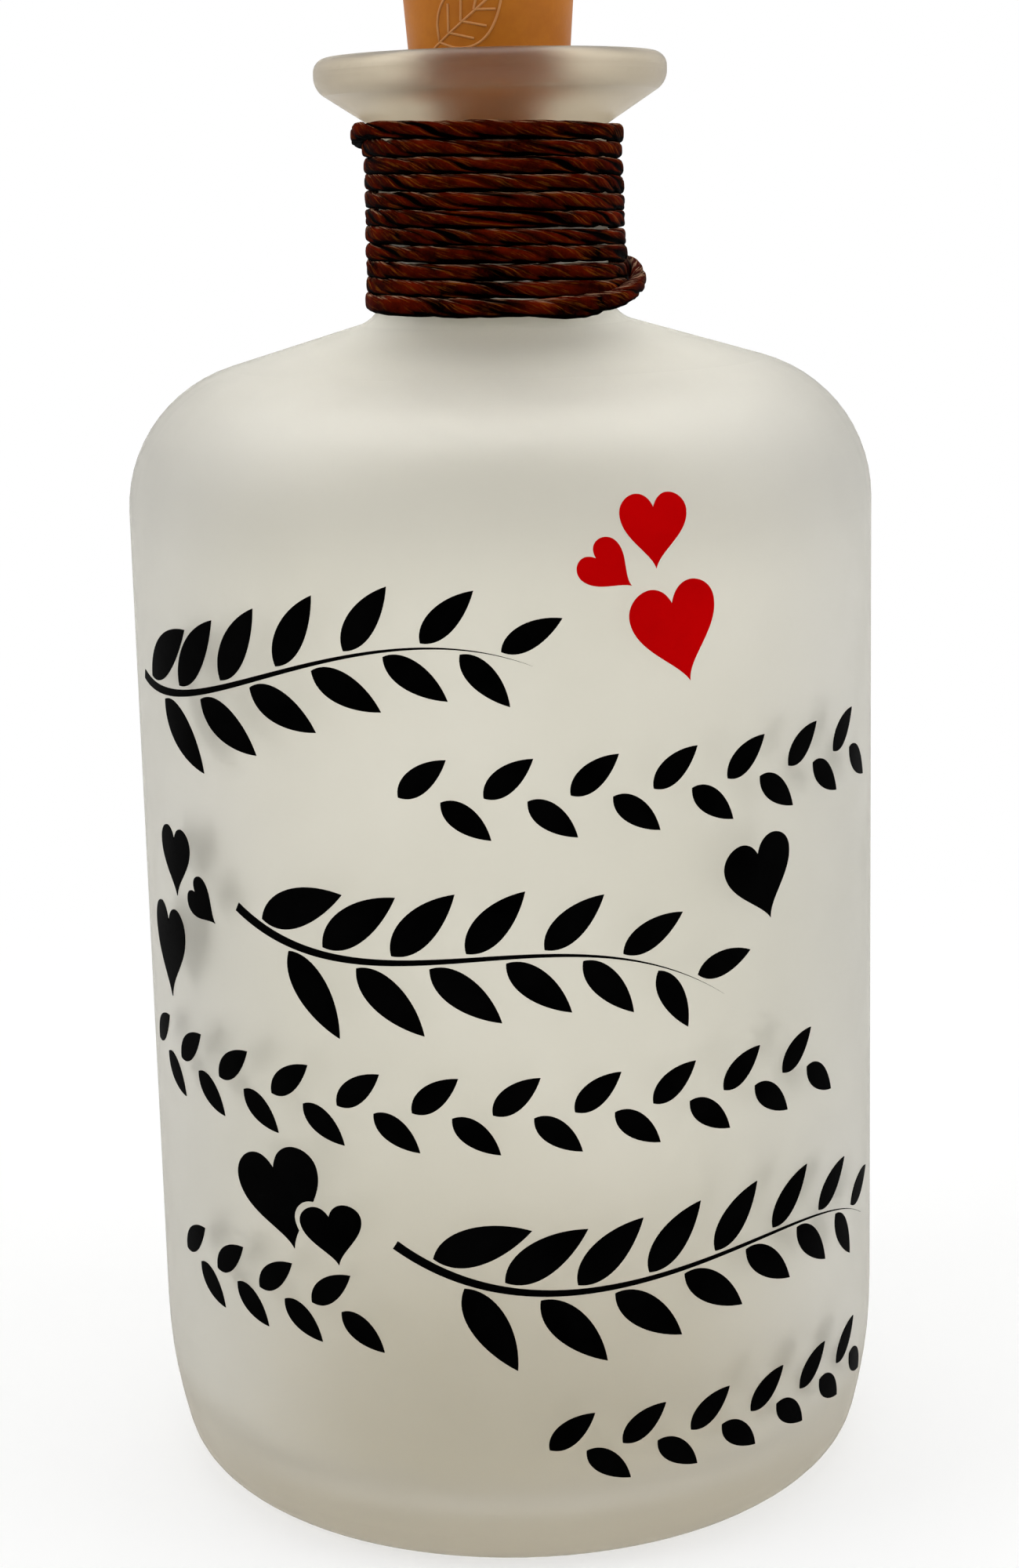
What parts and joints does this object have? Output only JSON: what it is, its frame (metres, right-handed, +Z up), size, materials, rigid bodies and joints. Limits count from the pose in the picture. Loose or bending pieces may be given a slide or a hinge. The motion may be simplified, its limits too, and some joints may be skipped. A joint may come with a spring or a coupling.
{
  "type": "light bottle",
  "caption": "Frosted round glass bottle with a flared lip, cord-wound neck, heart and leaf vinyl ornaments and a cork-shaped stopper holding a rechargeable light.",
  "frame": {"origin": "centre of the bottle's base, on the surface that it stands on", "axes": "+Z up along the bottle's axis, -Y towards the decorated front, +X to the right seen from the front"},
  "size_m": [0.09, 0.0901, 0.1956],
  "materials": {
    "frosted_glass": "frosted outside by a satin spray, clear inside",
    "paper_cord": "twisted dark brown paper cord",
    "vinyl_black": "thin cut vinyl film, satin",
    "vinyl_red": "thin cut vinyl film, satin",
    "cork_plastic": "moulded cork-coloured plastic",
    "deck_plastic": "moulded dark plastic",
    "button_plastic": "moulded pale plastic",
    "plug_steel": "nickel-plated sheet steel",
    "plug_insert": "moulded insulator",
    "contact_gold": "gold-flashed strip",
    "board_green": "lacquered circuit board",
    "chip_black": "moulded chip package",
    "cell_sleeve": "sleeved steel can",
    "tab_nickel": "nickel strip and tinned wire",
    "foam": "soft foam pad",
    "lamp_white": "light-emitting chip",
    "clear_plastic": "clear moulded plastic",
    "diffuser_plastic": "milky moulded plastic that spreads the light"
  },
  "bodies": {
    "bottle": {"bottle_glass": "frosted_glass", "neck_cord": "paper_cord", "red_hearts": "vinyl_red", "black_hearts_left": "vinyl_black", "black_heart_right": "vinyl_black", "black_heart_pair": "vinyl_black", "sprig_upper": "vinyl_black", "sprig_middle": "vinyl_black", "sprig_lower": "vinyl_black", "garland_upper": "vinyl_black", "garland_middle": "vinyl_black", "garland_lower": "vinyl_black", "garland_base": "vinyl_black"},
    "stopper": {"stopper_housing": "cork_plastic", "deck_plate": "deck_plastic", "plug_shell": "plug_steel", "plug_insulator": "plug_insert", "plug_contacts": "contact_gold", "lens": "diffuser_plastic", "switch_body": "chip_black", "light_pipe": "clear_plastic", "charge_light": "lamp_white", "main_board": "board_green", "charge_chip": "chip_black", "battery_cell": "cell_sleeve", "battery_pad": "foam", "battery_tabs": "tab_nickel", "lamp_leads": "tab_nickel", "lamp_board": "board_green", "lamp_chips": "lamp_white"},
    "cap": {"cork_cap": "cork_plastic"},
    "button": {"push_button": "button_plastic"}
  },
  "joints": [
    {"name": "stopper_lift", "type": "slide", "parent": "bottle", "child": "stopper", "axis": [0, 0, 1], "range_m": [0, 0.08]},
    {"name": "cap_pull", "type": "slide", "parent": "stopper", "child": "cap", "axis": [0, 0, 1], "range_m": [0, 0.02]},
    {"name": "button_press", "type": "slide", "parent": "stopper", "child": "button", "axis": [0, 0, -1], "range_m": [0, 0.0005], "stiffness_N_per_m": 200}
  ]
}
